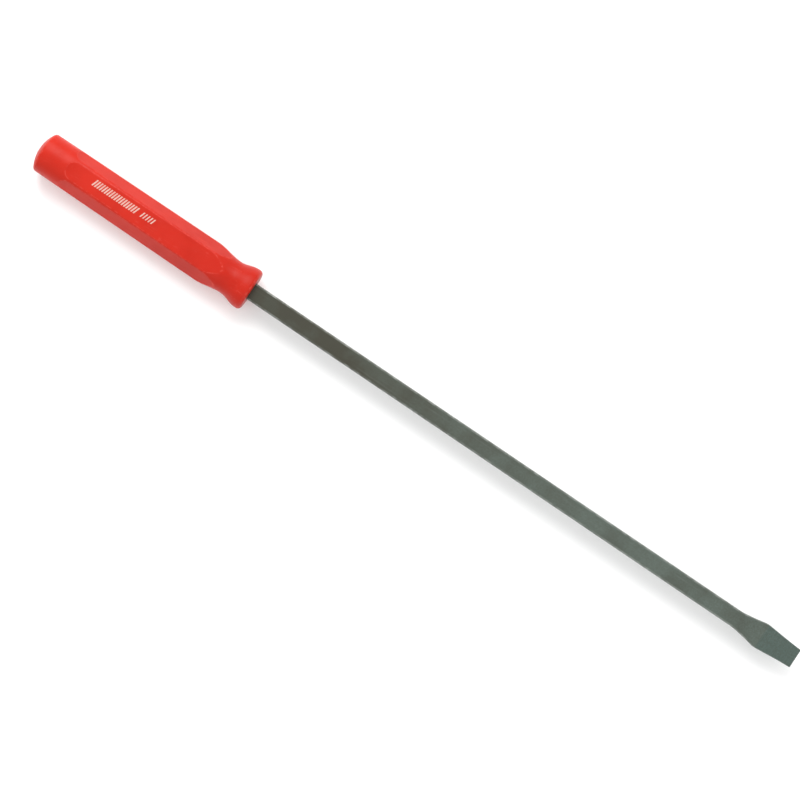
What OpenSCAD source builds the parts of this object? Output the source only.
// Screwdriver-style pry bar: a square alloy-steel bar, forged out into a keystone chisel
// blade, held in a moulded plastic handle with six long flats.
// The tool lies along X with the blade at +X and the wide face of the blade turned up.
// The origin is the centre of the footprint, so nothing reaches below Z = 0.

/* [Overall] */
// Length of the whole tool, from the crown of the handle to the tip
total_len = 635; // [560:5:760]

/* [Handle] */
// Length of the handle
handle_len = 178; // [170:1:200]
// Diameter of the grip just past the domed butt
butt_d = 30; // [29:0.1:31]
// Diameter of the grip where the shoulder starts
shoulder_d = 31.2; // [30:0.1:31.5]
// Diameter of the neck behind the guard
neck_d = 26; // [23:0.1:27]
// Diameter of the guard at the front
guard_d = 31.5; // [31.5:0.1:34]
// Radius of the domed butt
dome_r = 27; // [18:0.5:40]
// Distance across two opposite grip flats
across_flats = 27.2; // [27:0.1:28]
// Distance from the butt to where the flats reach full depth
flat_start = 31; // [28:1:50]

/* [Bar] */
// Width across the flats of the square bar
bar_w = 12.7; // [11:0.1:13]
// Chamfer on the long edges of the bar
bar_chamfer = 0.9; // [0.4:0.1:1.5]
// How far the tang reaches into the handle
tang_len = 128; // [100:1:140]

/* [Blade] */
// Length of the forged blade, from the start of the flare to the tip
blade_len = 49.5; // [44:0.5:54]
// Width of the blade at its widest
blade_w = 19; // [16:0.1:22]
// Width of the blade at the tip
tip_w = 14.4; // [12:0.1:15.5]
// Thickness of the blade where the ground faces start
blade_t = 8.4; // [7:0.1:9.5]
// Thickness of the blade at the tip
tip_t = 2.6; // [1.6:0.1:4]

/* [Hidden] */

axis_z = guard_d / 2;
butt_x = -total_len / 2;

flat_count = 6;
flat_runout_r = 14;                    // radius that ends each flat towards the butt
edge_r = 2.5;                          // blend between the dome and the grip
rim_r = 3;                             // rounded front rim of the guard
guard_land = 4.4;                      // full-diameter band of the guard
guard_flare = 13;                      // length of the flare from neck to guard
shoulder_len = 21;                     // length of the shoulder from grip to neck

neck_x = handle_len - guard_land - guard_flare;
shoulder_x = neck_x - shoulder_len;

tang_step = 0.2;                       // the tang is dressed down by this much on each side
tang_w = bar_w - 2 * tang_step;
mouth_gap = 0.2;                       // the socket's mouth is chamfered open round the shank
wing_len = 12;                         // swaged wings that lock the tang in the handle
wing_rise = 1.6;
wing_t = 5;
wing_gap = 10;                         // plain tang behind the wings
tang_point = 3;                        // chamfered end of the tang

widest_x = 28.5;                       // widest point of the blade, back from the tip
flare_soft = 3;                        // half length of the rounded corner at the widest point
land_len = 12;                         // last stretch of the blade, with nearly parallel edges
land_w = tip_w + 1.5;                  // width where that stretch starts
taper_back = 26;                       // forged taper in thickness, behind the ground faces
chamfer_fade = 14;                     // length over which the bar's chamfers die out
nose_r = 0.8;                          // broken corners of the tip, seen from above

blade_x = total_len - widest_x - taper_back;   // where the shank starts to thin

steps = 10;                            // straight pieces in each curved stretch

// Smooth step between two levels, from 0 to 1 as u goes from 0 to 1
function ease(u) = (1 - cos(180 * u)) / 2;

// Points of a smooth step from (x0, r0) to (x1, r1)
function step_points(x0, r0, x1, r1) =
    [for (i = [0:steps]) [x0 + (x1 - x0) * i / steps, r0 + (r1 - r0) * ease(i / steps)]];

// Points of an arc about (cx, cy)
function arc_points(cx, cy, r, from, to) =
    [for (i = [0:steps]) let (a = from + (to - from) * i / steps) [cx + r * cos(a), cy + r * sin(a)]];

// Outline of the handle's half section: X runs from the butt to the guard, Y is the radius
function handle_outline() =
    let (
        butt_r = butt_d / 2,
        guard_r = guard_d / 2,
        edge_x = dome_r - sqrt(pow(dome_r - edge_r, 2) - pow(butt_r - edge_r, 2)),
        edge_a = atan2(butt_r - edge_r, edge_x - dome_r)
    )
    concat(
        arc_points(dome_r, 0, dome_r, 180, edge_a),
        arc_points(edge_x, butt_r - edge_r, edge_r, edge_a, 90),
        step_points(shoulder_x, shoulder_d / 2, neck_x, neck_d / 2),
        step_points(neck_x, neck_d / 2, neck_x + guard_flare, guard_r),
        arc_points(handle_len - rim_r, guard_r - rim_r, rim_r, 90, 0),
        [[handle_len, 0]]
    );

// Side outline of what is cut away over one flat
function flat_outline() =
    let (
        depth = across_flats / 2,
        over = guard_d,
        lift = guard_d / 2 - depth + 1,
        end_a = acos(1 - lift / flat_runout_r)
    )
    concat(
        [[neck_x, over], [neck_x, depth]],
        arc_points(flat_start, depth + flat_runout_r, flat_runout_r, -90, -90 - end_a),
        [[flat_start - flat_runout_r * sin(end_a), over]]
    );

// Lays a shape that was drawn with X from the butt into the tool's own frame
module in_frame() {
    translate([butt_x, 0, axis_z]) children();
}

// Solid of revolution about the tool's axis
module turned(points) {
    rotate([0, 90, 0]) rotate([0, 0, 90]) rotate_extrude($fn = 96) polygon([for (p = points) [p[1], p[0]]]);
}

// Square stock w across its flats, with chamfered edges, from x0 to x1
module square_stock(x0, x1, w) {
    h = w / 2;
    k = h - bar_chamfer;
    translate([x0, 0, 0]) rotate([90, 0, 90]) linear_extrude(x1 - x0)
        polygon([[h, -k], [h, k], [k, h], [-k, h], [-h, k], [-h, -k], [-k, -h], [k, -h]]);
}

// Cuts the chamfers on along the start of the blade, where they die out
module chamfer_runout(x0) {
    edge = bar_w / sqrt(2);
    flat = edge - bar_chamfer / sqrt(2);
    for (turn = [45:90:315]) rotate([turn, 0, 0])
        side_plate([[x0 - 1, flat], [x0, flat], [x0 + chamfer_fade, edge + 0.5],
                    [x0 - 1, edge + 0.5]], bar_w);
}

// A flat outline in X and Z, as wide as w along Y
module side_plate(points, w) {
    translate([0, w / 2, 0]) rotate([90, 0, 0]) linear_extrude(w) polygon(points);
}

// The end of the tang, cut back on all four sides
module tang_end(x0) {
    over = 1;
    low = tang_w / 2 - tang_point * (0.5 + over / tang_point / 2);
    high = tang_w / 2 + over / 2;
    for (turn = [0:90:270]) rotate([turn, 0, 0])
        side_plate([[x0 - over, low], [x0 + tang_point + over, high], [x0 + tang_point + over, bar_w],
                    [x0 - over, bar_w]], 2 * bar_w);
}

// Two swaged wings on the sides of the tang, with their steep faces towards the guard
module wings(x0) {
    h = tang_w / 2;
    for (side = [0, 180]) rotate([side, 0, 0])
        translate([0, 0, -wing_t / 2]) linear_extrude(wing_t)
            polygon([[x0, h - 1], [x0, h], [x0 + wing_len - 2, h + wing_rise],
                     [x0 + wing_len, h + wing_rise], [x0 + wing_len + 1, h], [x0 + wing_len + 1, h - 1]]);
}

// The part of the bar that the handle holds
module tang() {
    x0 = handle_len - tang_len;
    difference() {
        square_stock(x0, handle_len, tang_w);
        tang_end(x0);
    }
    wings(x0 + wing_gap);
}

// Chamfered mouth of the socket
module socket_mouth() {
    depth = tang_step + mouth_gap;
    h = tang_w / 2;
    wedge = [[handle_len - depth, -h], [handle_len - depth, h], [handle_len + depth, h + 2 * depth],
             [handle_len + depth, -h - 2 * depth]];
    intersection() {
        side_plate(wedge, 2 * bar_w);
        rotate([90, 0, 0]) side_plate(wedge, 2 * bar_w);
    }
}

// Half of the blade's outline seen from above, from the start of the flare to the tip
function plan_half() =
    let (
        x0 = total_len - blade_len,
        xm = total_len - widest_x,
        flare = (blade_w - bar_w) / 2,
        slope = (blade_w - land_w) / 2 / (widest_x - land_len),
        corner_y = blade_w / 2 - slope * flare_soft / 2
    )
    concat(
        [for (u = [0:0.2:1]) [x0 + u * (xm - flare_soft - x0), bar_w / 2 + 0.86 * flare * pow(u, 1.4)]],
        [[xm, blade_w / 2], [xm + flare_soft, corner_y]],
        [[total_len - land_len, land_w / 2]],
        [[total_len - nose_r, tip_w / 2], [total_len, tip_w / 2 - nose_r]]
    );

// Half of the blade's outline seen from the side
function side_half() =
    concat(
        step_points(blade_x, bar_w / 2, blade_x + taper_back, blade_t / 2),
        [[total_len, tip_t / 2]]
    );

// The whole outline of a shape that is the same on both sides of X
function both_sides(half) =
    concat(half, [for (i = [len(half) - 1:-1:0]) [half[i][0], -half[i][1]]]);

// Forged and ground blade, with the stretch of shank where it starts to thin
module blade() {
    plan = concat([[blade_x, bar_w / 2]], plan_half());
    difference() {
        intersection() {
            translate([0, 0, -bar_w]) linear_extrude(2 * bar_w) polygon(both_sides(plan));
            side_plate(both_sides(side_half()), 2 * blade_w);
        }
        chamfer_runout(blade_x);
    }
}

module handle() {
    color([0.85, 0.16, 0.13]) in_frame() difference() {
        turned(handle_outline());
        for (i = [0:flat_count - 1]) rotate([i * 360 / flat_count, 0, 0])
            side_plate(flat_outline(), across_flats);
        tang();
        socket_mouth();
    }
}

module bar() {
    color([0.38, 0.42, 0.38]) in_frame() {
        tang();
        square_stock(handle_len, blade_x, bar_w);
        blade();
    }
}

handle();
bar();
